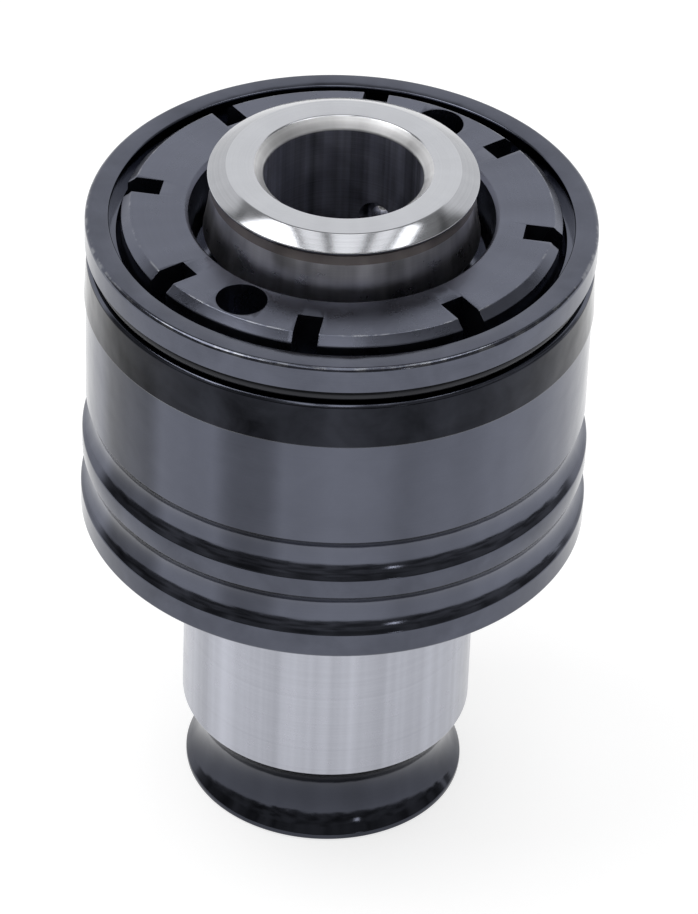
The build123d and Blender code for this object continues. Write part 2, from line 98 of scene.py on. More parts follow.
# Adjusting nut
NUT_TOP_Z = 0.5
NUT_BORE_R = 9.62
NUT_BORE_TOP_R = 9.87
NUT_BORE_TOP_Z = 0.25
NUT_FACE_R = 13.3
NUT_LINE_R = 13.45
NUT_LINE_Z = 0.32
NUT_R = 13.85
NUT_THREAD_R = 14.1
NUT_RELIEF_Z = -1.45
NUT_THREAD_TOP_Z = -1.7
NUT_BOTTOM_Z = -4.6
NUT_SLOTS = 8
NUT_SLOT_ANGLE = -12.2
NUT_SLOT_INNER_R = 11.5
NUT_SLOT_FLOOR_Z = -3.0
SPANNER_HOLES = 2
SPANNER_HOLE_ANGLE = 55.3
SPANNER_HOLE_PLACE_R = 11.585
SPANNER_HOLE_R = 1.6
SPANNER_FLOOR_Z = -2.9

# Cup, flange and shank
MOUTH_R = 14.6
MOUTH_END_Z = -1.2
RIM_R = 16.1
RIM_ROUND = 0.3
GROOVE_TOP_Z = -1.75
GROOVE_END_Z = -2.85
GROOVE_R = 14.95
LIP_R = 15.82
BODY_R = 16.0
LIP_END_Z = -3.03
RIDGE_R = 16.12
RIDGE_Z = -5.9
RIDGE_END_Z = -6.02
BODY_END_Z = -13.4
COVE_1_MID = (15.51, -14.85)
RIB_R = 16.22
RIB_TOP_Z = -16.3
RIB_END_Z = -17.6
COVE_2_MID = (15.66, -19.1)
FLANGE_R = 16.3
FLANGE_TOP_Z = -20.6
FLANGE_EDGE_Z = -22.2
FLANGE_FACE_R = 16.1
UNDERSIDE_Z = -22.4
RELIEF_R = 9.9
RELIEF_TOP_Z = -22.15
RELIEF_FLOOR_R = 9.25
RELIEF_END_Z = -23.2
SHANK_TOP_Z = -23.45
SHANK_R = 9.5
SHANK_END_Z = -37.9
LOCK_GROOVE_MID = (8.15, -40.675)
FOOT_R = 9.2
FOOT_BAND_Z = -43.45
FOOT_EDGE_Z = -43.75
FOOT_FACE_R = 9.05
FOOT_Z = -43.9
DRIVE_R = 5.5
DRIVE_FLOOR_Z = -36.9
KEYWAY_W = 4.0
KEYWAY_L = 14.0
AIR_R = 3.0
SHANK_BORE_END_Z = -28.0
SHANK_BORE_R = 7.4
BUSH_END_Z = -24.5
BUSH_R = 8.0
CUP_FLOOR_Z = -16.5
THREAD_R = 14.15
CLUTCH_R = 11.7
CLUTCH_BALLS = 6
CLUTCH_POCKET_R = 2.03
CLUTCH_SEAT_Z = -19.75
RING_SLOT_ANGLE = 77.8
RING_SLOT_SIDE = 0.4
RING_SLOT_W = 2.04
RING_SLOT_H = 1.1
RING_SLOT_Z = -2.3
RING_SLOT_INNER_R = 13.15
RING_SLOT_OUTER_R = 15.39

# Faces along an arc, across a corner or an edge, and round a cutter
ARC_STEPS = 12
CORNER_STEPS = 3
EDGE_STEPS = 2
CUTTER_STEPS = 48

# How far a cutter stands out of the piece, and how far faces picked by place may lie off
CUT_OVER = 1.0
WIDE_MARGIN = 0.05
SLIM_MARGIN = 0.01

# Where the middle of a quarter round lies, as a share of its radius
ROUND_MIDDLE = 1 - math.sqrt(0.5)

# Distances in metres at which points are one, on a spun piece and on an outline
MERGE = 1e-7
OUTLINE_MERGE = 1e-6

# Angles in degrees from which an edge shades sharp, and from which a cut edge is broken
SHARP_ANGLE = 40.0
CUT_EDGE_ANGLE = 60.0

# The left, right, front and back edge of each soft box above the part, in metres, and its share
# of the overhead light
SOFT_BOX_HEIGHT = 1.0
SOFT_BOXES = (
    (-0.9, -0.325, -0.4, 0.33, 1.0),
    (-0.26, -0.12, -0.85, 0.33, 0.4),
    (-0.06, 0.15, -0.85, 0.33, 0.4),
    (0.21, 0.34, -0.55, 0.33, 0.4),
    (0.4, 0.53, -0.3, 0.33, 1.0),
)
WINDOW_PLACE = (0.677, -1.273, 0.413)
WINDOW_SIZE = (0.08, 0.14)

# Floor: its side in metres, its tone, and the glow that the camera and the metal see
FLOOR_SIDE = 6.0
FLOOR_TONE = (0.5, 0.5, 0.5, 1.0)
FLOOR_GLOW = 0.72

# Room: the ceiling begins between two height angles, in degrees, and the dark front ends between
# two more. The front begins at the horizon, which things that stand there make uneven, and its
# sides end by their share of the way to the back. Its brightness changes from spot to spot.
CEILING_ANGLES = (43.0, 47.0)
FRONT_TOP_ANGLES = (47.0, 50.0)
FRONT_FOOT = (-0.02, 0.03)
FRONT_SIDES = (0.35, 0.5)
CLUTTER_GRAIN = 4.5
CLUTTER_REACH = 0.13
SPOT_GRAIN = 7.0
SPOT_EDGES = (0.35, 0.65)
SPOT_SHARES = (0.5, 2.2)

# Nearest and furthest distance that the camera sees, in metres
CAMERA_CLIP = (0.01, 50.0)

# Painted dark reflections, streaks of painted shade round the cup: degrees from the front, half
# width in degrees, change of tone
PAINTED_DARK_REFLECTIONS = ((-58.0, 9.0, -0.5), (-23.0, 5.0, -0.42), (20.0, 9.0, -0.12))
DARK_REFLECTION_FADE = (4.0, -3.0)

# Edges worn bright, which also paint a broken highlight along the rim's and the nut's edges:
# radius, height and reach, and how much of the blackening is gone
RIM_WEAR_AND_HIGHLIGHT = (RIM_R - 0.09, -0.09, 0.2)
NUT_WEAR_AND_HIGHLIGHT = (NUT_FACE_R, NUT_TOP_Z, 0.12)
WEAR_AND_HIGHLIGHT = 0.4
WORN_AND_HIGHLIGHT_STEEL = (0.42, 0.43, 0.45, 1.0)
CHIP_AND_GLINT_GRAIN = 1.2
CHIP_AND_GLINT_EDGES = (0.47, 0.6)

# How light each material is beside the one that it is a copy of. The nut's copy is lighter,
# painted light on its face, and the sleeve chamfer's darker, painted shade that dims its highlights
RIBS_TONE = 0.82
RIM_TONE = 0.95
BAND_TONE = 0.2
FOOT_TONE = 0.48
NUT_LIT_TONE = 1.35
CHAMFER_SHADE_TONE = 0.8

# Colours that the sidebar doesn't list: finishes, and a painted shade for the sleeve's undercut
SPRING_STEEL = (0.035, 0.036, 0.04)
BALL_STEEL = (0.75, 0.75, 0.77)
BORE_STEEL = (0.54, 0.55, 0.63)
UNDERCUT_SHADE_STEEL = (0.36, 0.32, 0.31)
LEAD_IN_STEEL = (0.72, 0.72, 0.73)

# Blackened steel: grain per millimetre of the marks, the patches and the waves, the bands round
# the axis, the change of tone by the marks, and the roughness of its smooth and rough patches
MARKS_GRAIN = 9.0
BANDS_GRAIN = 3.2
PATCH_GRAIN = 0.35
WAVE_GRAIN = 0.3
MARKS_TONE = 0.03
BLACK_ROUGHNESS = (0.8, 1.25)

# Turned steel: grain and change of tone of its patches, and the roughness of smooth and rough ones
STEEL_PATCH_GRAIN = 0.6
STEEL_PATCH_TONE = 0.02
STEEL_ROUGHNESS = (0.85, 1.2)

# The low and the high value that a noise keeps between
NOISE_ENDS = (0.3, 0.7)


class AdapterSizes(bpy.types.PropertyGroup):
    """Sizes of the turned and cut pieces."""

    turn_steps: IntProperty(
        name="Steps round",
        description="Faces round a turned piece",
        default=256,
        min=48,
        max=512,
    )
    edge_break: FloatProperty(
        name="Edge break",
        description="Width of a broken edge",
        default=0.08 * MM,
        min=0.0,
        subtype="DISTANCE",
        unit="LENGTH",
    )
    slot_width: FloatProperty(
        name="Slot width",
        description="Width of the nut's slots",
        default=1.6 * MM,
        min=0.0,
        subtype="DISTANCE",
        unit="LENGTH",
    )


class AdapterFinish(bpy.types.PropertyGroup):
    """Colours and roughness of the finishes."""

    oxide: FloatVectorProperty(
        name="Black oxide",
        description="Colour of the blackened steel",
        subtype="COLOR",
        size=3,
        min=0,
        max=1,
        default=(0.104, 0.111, 0.141),
    )
    oxide_rough: FloatProperty(
        name="Oxide roughness",
        description="Roughness of the blackened steel",
        default=0.12,
        min=0,
        max=1,
    )
    face: FloatVectorProperty(
        name="Sleeve face",
        description="Colour of the sleeve's turned face",
        subtype="COLOR",
        size=3,
        min=0,
        max=1,
        default=(0.53, 0.54, 0.57),
    )
    face_rough: FloatProperty(
        name="Face roughness",
        description="Roughness of the sleeve's turned face",
        default=0.11,
        min=0,
        max=1,
    )
    neck: FloatVectorProperty(
        name="Sleeve neck",
        description="Colour of the sleeve's neck and skirt",
        subtype="COLOR",
        size=3,
        min=0,
        max=1,
        default=(0.66, 0.65, 0.68),
    )
    steel: FloatVectorProperty(
        name="Ground steel",
        description="Colour of the ground shank",
        subtype="COLOR",
        size=3,
        min=0,
        max=1,
        default=(0.4, 0.41, 0.46),
    )
    steel_rough: FloatProperty(
        name="Steel roughness",
        description="Roughness of ground steel",
        default=0.24,
        min=0,
        max=1,
    )
    bronze: FloatVectorProperty(
        name="Bronze",
        description="Colour of the bush and the cage",
        subtype="COLOR",
        size=3,
        min=0,
        max=1,
        default=(0.62, 0.42, 0.2),
    )


class AdapterStudio(bpy.types.PropertyGroup):
    """Place of the camera and strength of the light."""

    elevation: FloatProperty(
        name="Camera height angle",
        description="Angle of the camera above the horizon",
        subtype="ANGLE",
        unit="ROTATION",
        default=0.6554,
    )
    azimuth: FloatProperty(
        name="Camera turn",
        description="Turn of the camera and the lights about the part's axis",
        subtype="ANGLE",
        unit="ROTATION",
        default=0.07,
    )
    roll: FloatProperty(
        name="Camera roll",
        description="Turn of the camera about its line of sight",
        subtype="ANGLE",
        unit="ROTATION",
        default=-0.0383,
    )
    distance: FloatProperty(
        name="Camera distance",
        description="Distance from the rim's centre along the line of sight",
        default=0.34884,
        min=0.01,
        subtype="DISTANCE",
        unit="LENGTH",
    )
    shift_right: FloatProperty(
        name="Aim right",
        description="How far right of the rim's centre the camera stands",
        default=0.42682 * MM,
        subtype="DISTANCE",
        unit="LENGTH",
    )
    shift_down: FloatProperty(
        name="Aim down",
        description="How far below the rim's centre the camera stands",
        default=15.066 * MM,
        subtype="DISTANCE",
        unit="LENGTH",
    )
    lens: FloatProperty(
        name="Lens",
        description="Focal length in millimetres for a 36 mm sensor",
        default=219.74,
        min=1,
    )
    overhead: FloatProperty(
        name="Overhead light",
        description="Brightness of the soft boxes above",
        default=3.4,
        min=0,
    )
    window: FloatProperty(
        name="Window light",
        description="Brightness of the small window",
        default=6.0,
        min=0,
    )
    front_shade: FloatProperty(
        name="Front shade",
        description="Brightness of the room behind the camera",
        default=0.13,
        min=0,
    )
    ceiling: FloatProperty(
        name="Ceiling",
        description="Brightness of the ceiling round the soft boxes",
        default=0.3,
        min=0,
    )


def deselect():
    """Leaves edit mode and clears the selection."""
    if bpy.context.object and bpy.context.object.mode != "OBJECT":
        bpy.ops.object.mode_set(mode="OBJECT")
    bpy.ops.object.select_all(action="DESELECT")


def pick(piece):
    """Selects one piece alone and makes it the active one."""
    deselect()
    piece.select_set(True)
    bpy.context.view_layer.objects.active = piece


def select_points(piece, wanted):
    """In edit mode, selects the points that wanted(point) picks and clears the rest."""
    mesh = bmesh.from_edit_mesh(piece.data)
    for point in mesh.verts:
        point.select = wanted(point.co)
    mesh.select_flush_mode()
    bmesh.update_edit_mesh(piece.data)


def circle_through(start, middle, end):
    """Centre and signed angle, about +Y, of the arc through three points of the XZ plane."""
    (ax, az), (bx, bz), (cx, cz) = start, middle, end
    d = 2 * (ax * (bz - cz) + bx * (cz - az) + cx * (az - bz))
    a2, b2, c2 = ax * ax + az * az, bx * bx + bz * bz, cx * cx + cz * cz
    x = (a2 * (bz - cz) + b2 * (cz - az) + c2 * (az - bz)) / d
    z = (a2 * (cx - bx) + b2 * (ax - cx) + c2 * (bx - ax)) / d
    first = math.atan2(az - z, ax - x)
    last = math.atan2(cz - z, cx - x)
    turn = (last - first + math.pi) % math.tau - math.pi
    return (x, z), turn


def turned(name, outline, sizes):
    """A turned piece: its outline is drawn point by point, its corners are broken, and it is spun.

    An outline entry is (radius, height, share of the edge break), and an entry with a fourth
    part, the middle of an arc, is reached on that arc.
    """
    deselect()
    first = outline[0]
    bpy.ops.mesh.primitive_plane_add(size=MM, location=(0, 0, 0))
    piece = bpy.context.object
    piece.name = name
    piece.data.name = name
    bpy.ops.object.mode_set(mode="EDIT")
    bpy.ops.mesh.select_mode(type="VERT")
    bpy.ops.mesh.select_all(action="SELECT")
    bpy.ops.mesh.merge(type="CENTER")
    bpy.ops.transform.translate(value=(first[0] * MM, 0, first[1] * MM))
    here = first[:2]
    for entry in [*outline[1:], first[:3]]:
        there = entry[:2]
        if len(entry) == 4:
            (x, z), turn = circle_through(here, entry[3], there)
            centre = (x * MM, 0, z * MM)
            bpy.ops.mesh.spin(steps=ARC_STEPS, angle=turn, center=centre, axis=(0, 1, 0))
        else:
            step = ((there[0] - here[0]) * MM, 0, (there[1] - here[1]) * MM)
            bpy.ops.mesh.extrude_vertices_move(TRANSFORM_OT_translate={"value": step})
        here = there
    bpy.ops.mesh.select_all(action="SELECT")
    bpy.ops.mesh.remove_doubles(threshold=OUTLINE_MERGE)
    for share in sorted({entry[2] for entry in outline if entry[2]}):
        corners = [
            Vector((entry[0] * MM, 0, entry[1] * MM)) for entry in outline if entry[2] == share
        ]
        select_points(
            piece,
            lambda co: any((co - corner).length < OUTLINE_MERGE for corner in corners),
        )
        bpy.ops.mesh.bevel(
            offset_type="OFFSET",
            offset=share * sizes.edge_break,
            segments=CORNER_STEPS,
            affect="VERTICES",
        )
    bpy.ops.mesh.select_all(action="SELECT")
    steps = sizes.turn_steps
    bpy.ops.mesh.spin(steps=steps, angle=math.tau, center=(0, 0, 0), axis=(0, 0, 1))
    bpy.ops.mesh.select_all(action="SELECT")
    bpy.ops.mesh.remove_doubles(threshold=MERGE)
    bpy.ops.mesh.normals_make_consistent(inside=False)
    bpy.ops.object.mode_set(mode="OBJECT")
    return piece


def box_cutter(size, place, angle=0.0):
    """A box for cutting, turned about the axis by an angle in degrees, its place given there."""
    deselect()
    turn = math.radians(angle)
    x, y, z = place
    spot = (
        x * math.cos(turn) - y * math.sin(turn),
        x * math.sin(turn) + y * math.cos(turn),
        z,
    )
    place_in_metres = [part * MM for part in spot]
    bpy.ops.mesh.primitive_cube_add(size=1, location=place_in_metres, rotation=(0, 0, turn))
    cutter = bpy.context.object
    cutter.scale = [side * MM for side in size]
    return cutter


def round_cutter(radius, length, place, rotation=(0, 0, 0)):
    """A round cutter with its middle at a place."""
    deselect()
    bpy.ops.mesh.primitive_cylinder_add(
        vertices=CUTTER_STEPS,
        radius=radius * MM,
        depth=length * MM,
        location=[part * MM for part in place],
        rotation=rotation,
    )
    return bpy.context.object


def upright_cutter(radius, place_r, angle, low, high):
    """An upright round cutter at a radius and an angle, from one height to another."""
    turn = math.radians(angle)
    place = (place_r * math.cos(turn), place_r * math.sin(turn), (low + high) / 2)
    return round_cutter(radius, high - low, place)


def cut(piece, cutters):
    """Cuts the cutters out of the piece and removes them."""
    for cutter in cutters:
        pick(piece)
        modifier = piece.modifiers.new("cut", "BOOLEAN")
        modifier.object = cutter
        modifier.operation = "DIFFERENCE"
        modifier.solver = "EXACT"
        bpy.ops.object.modifier_apply(modifier=modifier.name)
        bpy.data.objects.remove(cutter)


def break_edges(piece, width, least_angle):
    """Bevels the edges that turn by more than an angle in degrees."""
    pick(piece)
    modifier = piece.modifiers.new("broken edges", "BEVEL")
    modifier.width = width
    modifier.segments = EDGE_STEPS
    modifier.limit_method = "ANGLE"
    modifier.angle_limit = math.radians(least_angle)
    modifier.use_clamp_overlap = True
    bpy.ops.object.modifier_apply(modifier=modifier.name)


def finish_shape(piece, body, slot, *nodes):
    """Smooths the piece, puts its normals by face size, and sets it on its body in the frame."""
    pick(piece)
    bpy.ops.object.shade_smooth_by_angle(angle=math.radians(SHARP_ANGLE))
    modifier = piece.modifiers.new("flat faces stay flat", "WEIGHTED_NORMAL")
    modifier.keep_sharp = True
    modifier.weight = 50
    bpy.ops.object.modifier_apply(modifier=modifier.name)
    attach(piece, body)
    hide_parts(*nodes)


def assign_faces(piece, material, wanted):
    """Gives a material to the faces whose centre wanted(radius, height) picks."""
    pick(piece)
    bpy.ops.object.material_slot_add()
    piece.material_slots[-1].material = material
    piece.active_material_index = len(piece.material_slots) - 1
    bpy.ops.object.mode_set(mode="EDIT")
    bpy.ops.mesh.select_mode(type="FACE")
    mesh = bmesh.from_edit_mesh(piece.data)
    for face in mesh.faces:
        centre = face.calc_center_median() / MM
        face.select = wanted(math.hypot(centre.x, centre.y), centre.z)
    bmesh.update_edit_mesh(piece.data)
    bpy.ops.object.material_slot_assign()
    bpy.ops.object.mode_set(mode="OBJECT")


class Shader:
    """Adds shader nodes to a node tree one by one and joins them."""

    def __init__(self, tree):
        self.tree = tree
        self.column = 0

    def add(self, kind, inputs=None, **settings):
        """A node with its settings, its inputs joined or set."""
        node = self.tree.nodes.new(kind)
        node.location = (-1600 + 40 * self.column, 300 - 60 * (self.column % 12))
        self.column += 1
        for key, value in settings.items():
            setattr(node, key, value)
        for key, value in (inputs or {}).items():
            self.join(value, node.inputs[key])
        return node

    def join(self, value, socket):
        """Links a socket, or sets a plain value on it."""
        if isinstance(value, bpy.types.NodeSocket):
            self.tree.links.new(value, socket)
        else:
            socket.default_value = value

    def math(self, operation, *values):
        return self.add("ShaderNodeMath", dict(enumerate(values)), operation=operation).outputs[0]

    def vector_math(self, operation, inputs, output=0):
        return self.add("ShaderNodeVectorMath", inputs, operation=operation).outputs[output]

    def place(self):
        """Place in millimetres, the unit vector away from the axis, radius and height."""
        source = self.add("ShaderNodeTexCoord").outputs["Object"]
        scale = (1 / MM,) * 3
        spot = self.add("ShaderNodeMapping", {"Vector": source, "Scale": scale}).outputs[0]
        parts = self.add("ShaderNodeSeparateXYZ", {0: spot}).outputs
        flat = self.add("ShaderNodeCombineXYZ", {0: parts[0], 1: parts[1]}).outputs[0]
        radius = self.vector_math("LENGTH", {0: flat}, "Value")
        away = self.vector_math("NORMALIZE", {0: flat})
        return spot, away, radius, parts[2]

    def noise(self, vector, scale, detail=2.0, roughness=0.5, distortion=0.0):
        inputs = {
            "Vector": vector,
            "Scale": scale,
            "Detail": detail,
            "Roughness": roughness,
            "Distortion": distortion,
        }
        return self.add("ShaderNodeTexNoise", inputs).outputs["Fac"]

    def spread(self, value, low, high, to_low=0.0, to_high=1.0, kind="SMOOTHSTEP"):
        """The value, with its low and high end taken to two other values."""
        inputs = {0: value, 1: low, 2: high, 3: to_low, 4: to_high}
        return self.add("ShaderNodeMapRange", inputs, interpolation_type=kind).outputs[0]

    def scaled(self, vector, factor):
        return self.vector_math("MULTIPLY", {0: vector, 1: (factor,) * 3})

    def across(self, radius, height, grain):
        """A place that changes across the turning marks only."""
        return self.joined(
            self.math("MULTIPLY", radius, grain), self.math("MULTIPLY", height, grain), 0.0
        )

    def joined(self, x, y, z):
        return self.add("ShaderNodeCombineXYZ", {0: x, 1: y, 2: z}).outputs[0]

    def mix(self, factor, first, second):
        node = self.add("ShaderNodeMix", data_type="RGBA")
        for value, number in ((factor, 0), (first, 6), (second, 7)):
            self.join(value, node.inputs[number])
        return node.outputs[2]

    def tint(self, colour, tone):
        return self.vector_math("SCALE", {0: colour, 3: tone})

    def swing(self, value, reach):
        """A noise value as a swing of so much up and down."""
        return self.spread(value, *NOISE_ENDS, -reach, reach, "LINEAR")

    def total(self, *values):
        result = values[0]
        for value in values[1:]:
            result = self.math("ADD", result, value)
        return result


def new_metal(name):
    """A new metal material, its shader and its surface node."""
    material = bpy.data.materials.new(name)
    material.use_nodes = True
    surface = material.node_tree.nodes["Principled BSDF"]
    surface.inputs["Metallic"].default_value = 1.0
    return material, Shader(material.node_tree), surface


def join_metal(shader, surface, colour, patches, rough_ends, relief):
    """Joins colour, roughness by patches, and relief in millimetres to a metal's surface."""
    shader.join(colour, surface.inputs["Base Color"])
    rough = shader.spread(patches, *NOISE_ENDS, *rough_ends, "LINEAR")
    shader.join(rough, surface.inputs["Roughness"])
    bump = shader.add("ShaderNodeBump", {"Height": relief, "Strength": 1.0, "Distance": MM})
    shader.join(bump.outputs[0], surface.inputs["Normal"])


def shaded(colour, share):
    """A colour made darker or lighter by a share."""
    return tuple(part * share for part in colour)


def dark_reflection_tone(shader, away, tone, dark_reflections):
    """The tone, darkened by each painted dark reflection."""
    for angle, half_width, change in dark_reflections:
        turn = math.radians(angle)
        way = (math.sin(turn), -math.cos(turn), 0)
        toward = shader.vector_math("DOT_PRODUCT", {0: away, 1: way}, "Value")
        outside, inside = (math.cos(math.radians(half_width + fade)) for fade in DARK_REFLECTION_FADE)
        tone = shader.math("ADD", tone, shader.spread(toward, outside, inside, 0.0, change))
    return tone


def worn_and_highlight_colour(shader, spot, radius, height, colour, worn_highlight_edges):
    """The colour, chipped down to the steel near each worn edge, as wear and as a painted broken
    highlight.
    """
    wear_and_highlight = 0.0
    for edge_r, edge_z, reach in worn_highlight_edges:
        sideways = shader.math("SUBTRACT", radius, edge_r)
        upward = shader.math("SUBTRACT", height, edge_z)
        gap = shader.vector_math("LENGTH", {0: shader.joined(sideways, upward, 0.0)}, "Value")
        wear_and_highlight = shader.math("MAXIMUM", wear_and_highlight, shader.spread(gap, 0.0, reach, WEAR_AND_HIGHLIGHT, 0.0))
    # Chips break the worn edge, and the highlight that it paints, into pieces.
    chips_and_glints = shader.spread(shader.noise(spot, CHIP_AND_GLINT_GRAIN, 4.0, 0.6), *CHIP_AND_GLINT_EDGES)
    return shader.mix(shader.math("MULTIPLY", wear_and_highlight, chips_and_glints), colour, WORN_AND_HIGHLIGHT_STEEL)


def black_oxide(
    name,
    colour,
    rough,
    streak=0.1,
    mottle=0.05,
    wave=0.05,
    marks_depth=0.0008,
    worn_highlight_edges=(),
    dark_reflections=(),
):
    """Glossy blackened steel: faint turning marks, soft bands of tone round the piece that are
    partly painted reflections, a wavy surface.

    A worn edge, which also paints a broken highlight along it, is (radius, height, reach). A
    painted dark reflection is (degrees from the front, half width in degrees, change of tone).
    """
    material, shader, surface = new_metal(name)
    spot, away, radius, height = shader.place()
    marks = shader.noise(shader.across(radius, height, MARKS_GRAIN), 1.0, 3.0, 0.6)
    # Soft bands of tone round the piece: tone that differs at random, and partly painted
    # reflections as upright streaks.
    bands = shader.noise(shader.scaled(away, BANDS_GRAIN), 1.0, 2.0, 0.5)
    patches = shader.noise(spot, PATCH_GRAIN, 4.0, 0.6, 0.4)
    tone = shader.total(
        1.0,
        shader.swing(bands, streak),
        shader.swing(patches, mottle),
        shader.swing(marks, MARKS_TONE),
    )
    toned = shader.tint(colour, dark_reflection_tone(shader, away, tone, dark_reflections))
    if worn_highlight_edges:
        toned = worn_and_highlight_colour(shader, spot, radius, height, toned, worn_highlight_edges)
    waves = shader.noise(spot, WAVE_GRAIN, 2.0, 0.45)
    relief = shader.total(
        shader.math("MULTIPLY", marks, marks_depth), shader.math("MULTIPLY", waves, wave)
    )
    join_metal(shader, surface, toned, patches, shaded(BLACK_ROUGHNESS, rough), relief)
    return material


def turned_steel(
    name, colour, rough, depth=0.001, streak=0.08, bands=3.0, grain=9.0, lines=0.04
):
    """Bright steel with the fine grooves of turning or grinding round the axis, and soft bands of
    tone round it that are partly painted reflections.
    """
    material, shader, surface = new_metal(name)
    spot, away, radius, height = shader.place()
    marks = shader.noise(shader.across(radius, height, grain), 1.0, 4.0, 0.7)
    # Soft bands of tone round the axis: partly painted reflections as upright streaks.
    round_about = shader.noise(shader.scaled(away, bands), 1.0, 3.0, 0.55)
    patches = shader.noise(spot, STEEL_PATCH_GRAIN, 4.0, 0.6)
    tone = shader.total(
        1.0,
        shader.swing(round_about, streak),
        shader.swing(marks, lines),
        shader.swing(patches, STEEL_PATCH_TONE),
    )
    relief = shader.math("MULTIPLY", marks, depth)
    toned = shader.tint(colour, tone)
    join_metal(shader, surface, toned, patches, shaded(STEEL_ROUGHNESS, rough), relief)
    return material


def pale_floor():
    """The floor under the foot, with a glow that only the camera, metal and glass see."""
    deselect()
    bpy.ops.mesh.primitive_plane_add(size=FLOOR_SIDE, location=(0, 0, FOOT_Z * MM))
    floor = bpy.context.object
    floor.name = "floor"
    material, shader, surface = new_metal("pale floor")
    nodes = material.node_tree.nodes
    nodes.remove(surface)
    matt = shader.add("ShaderNodeBsdfDiffuse", {"Color": FLOOR_TONE}).outputs[0]
    rays = shader.add("ShaderNodeLightPath").outputs
    seen = rays["Is Camera Ray"]
    for kind in ("Is Glossy Ray", "Is Transmission Ray"):
        seen = shader.math("MAXIMUM", seen, rays[kind])
    strength = shader.math("MULTIPLY", seen, FLOOR_GLOW)
    white = (1, 1, 1, 1)
    glow = shader.add("ShaderNodeEmission", {"Color": white, "Strength": strength}).outputs[0]
    both = shader.add("ShaderNodeAddShader", {0: matt, 1: glow}).outputs[0]
    shader.join(both, nodes["Material Output"].inputs["Surface"])
    floor.data.materials.append(material)


def studio_room(scene, studio):
    """A light room with a dimmer ceiling and, behind the camera, a dark and cluttered front."""
    world = bpy.data.worlds.new("soft studio")
    world.use_nodes = True
    scene.world = world
    room = Shader(world.node_tree)
    direction = room.add("ShaderNodeTexCoord").outputs["Generated"]
    toward = room.add("ShaderNodeSeparateXYZ", {0: direction}).outputs
    front_top, ceiling_edge = (
        [math.sin(math.radians(angle)) for angle in angles]
        for angles in (FRONT_TOP_ANGLES, CEILING_ANGLES)
    )
    clutter = room.swing(room.noise(direction, CLUTTER_GRAIN, 4.0, 0.6), CLUTTER_REACH)
    above_foot = room.spread(room.math("ADD", toward[2], clutter), *FRONT_FOOT)
    below_top = room.spread(toward[2], *front_top, 1.0, 0.0)
    between_sides = room.spread(toward[1], *FRONT_SIDES, 1.0, 0.0)
    front = room.math("MULTIPLY", room.math("MULTIPLY", above_foot, below_top), between_sides)
    spots = room.noise(direction, SPOT_GRAIN, 3.0, 0.6)
    shade = room.spread(spots, *SPOT_EDGES, *shaded(SPOT_SHARES, studio.front_shade))
    walls = room.spread(front, 0.0, 1.0, 1.0, shade, "LINEAR")
    ceiling = room.spread(toward[2], *ceiling_edge, 1.0, studio.ceiling)
    background = world.node_tree.nodes["Background"]
    background.inputs["Color"].default_value = (1, 1, 1, 1)
    room.join(room.math("MULTIPLY", walls, ceiling), background.inputs["Strength"])


def soft_light(name, place, size, strength, turn, overhead=True):
    """A flat lamp that shines down, or else at the part, and whose face has a brightness."""
    spot = turn @ Vector(place)
    bpy.ops.object.light_add(type="AREA", location=spot)
    lamp = bpy.context.object
    lamp.name = name
    lamp.rotation_mode = "QUATERNION"
    if overhead:
        lamp.rotation_quaternion = turn.to_quaternion()
    else:
        lamp.rotation_quaternion = (-spot).to_track_quat("-Z", "Y")
    lamp.data.shape = "RECTANGLE"
    lamp.data.size, lamp.data.size_y = size
    lamp.data.energy = strength * math.pi * size[0] * size[1]


def photo_camera(scene, studio, turn):
    """The camera at the photograph's viewing angle."""
    height_angle, roll = studio.elevation, studio.roll
    sine, cosine = math.sin(height_angle), math.cos(height_angle)
    right, up, back_way = (
        turn @ Vector(way) for way in ((1, 0, 0), (0, sine, cosine), (0, -cosine, sine))
    )
    camera_right = right * math.cos(roll) - up * math.sin(roll)
    camera_up = right * math.sin(roll) + up * math.cos(roll)
    bpy.ops.object.camera_add()
    camera = bpy.context.object
    camera.name = "photo camera"
    sideways = camera_right * studio.shift_right - camera_up * studio.shift_down
    camera.location = sideways + back_way * studio.distance
    camera.rotation_mode = "QUATERNION"
    axes = Matrix((camera_right, camera_up, back_way)).transposed()
    camera.rotation_quaternion = axes.to_quaternion()
    camera.data.lens = studio.lens
    camera.data.clip_start, camera.data.clip_end = CAMERA_CLIP
    scene.camera = camera
    scene.view_settings.view_transform = "Standard"


class AdapterStage(bpy.types.Operator):
    """Sets the floor, the soft light and the camera"""

    bl_idname = "adapter.stage"
    bl_label = "Floor, light and camera"

    def execute(self, context):
        studio = context.scene.adapter_studio
        turn = Matrix.Rotation(-studio.azimuth, 3, "Z")
        pale_floor()
        studio_room(context.scene, studio)
        for number, (left, right, near, far, share) in enumerate(SOFT_BOXES, 1):
            middle = ((left + right) / 2, (near + far) / 2, SOFT_BOX_HEIGHT)
            size = (right - left, far - near)
            soft_light(f"soft box {number}", middle, size, studio.overhead * share, turn)
        soft_light("small window", WINDOW_PLACE, WINDOW_SIZE, studio.window, turn, overhead=False)
        photo_camera(context.scene, studio, turn)
        return {"FINISHED"}


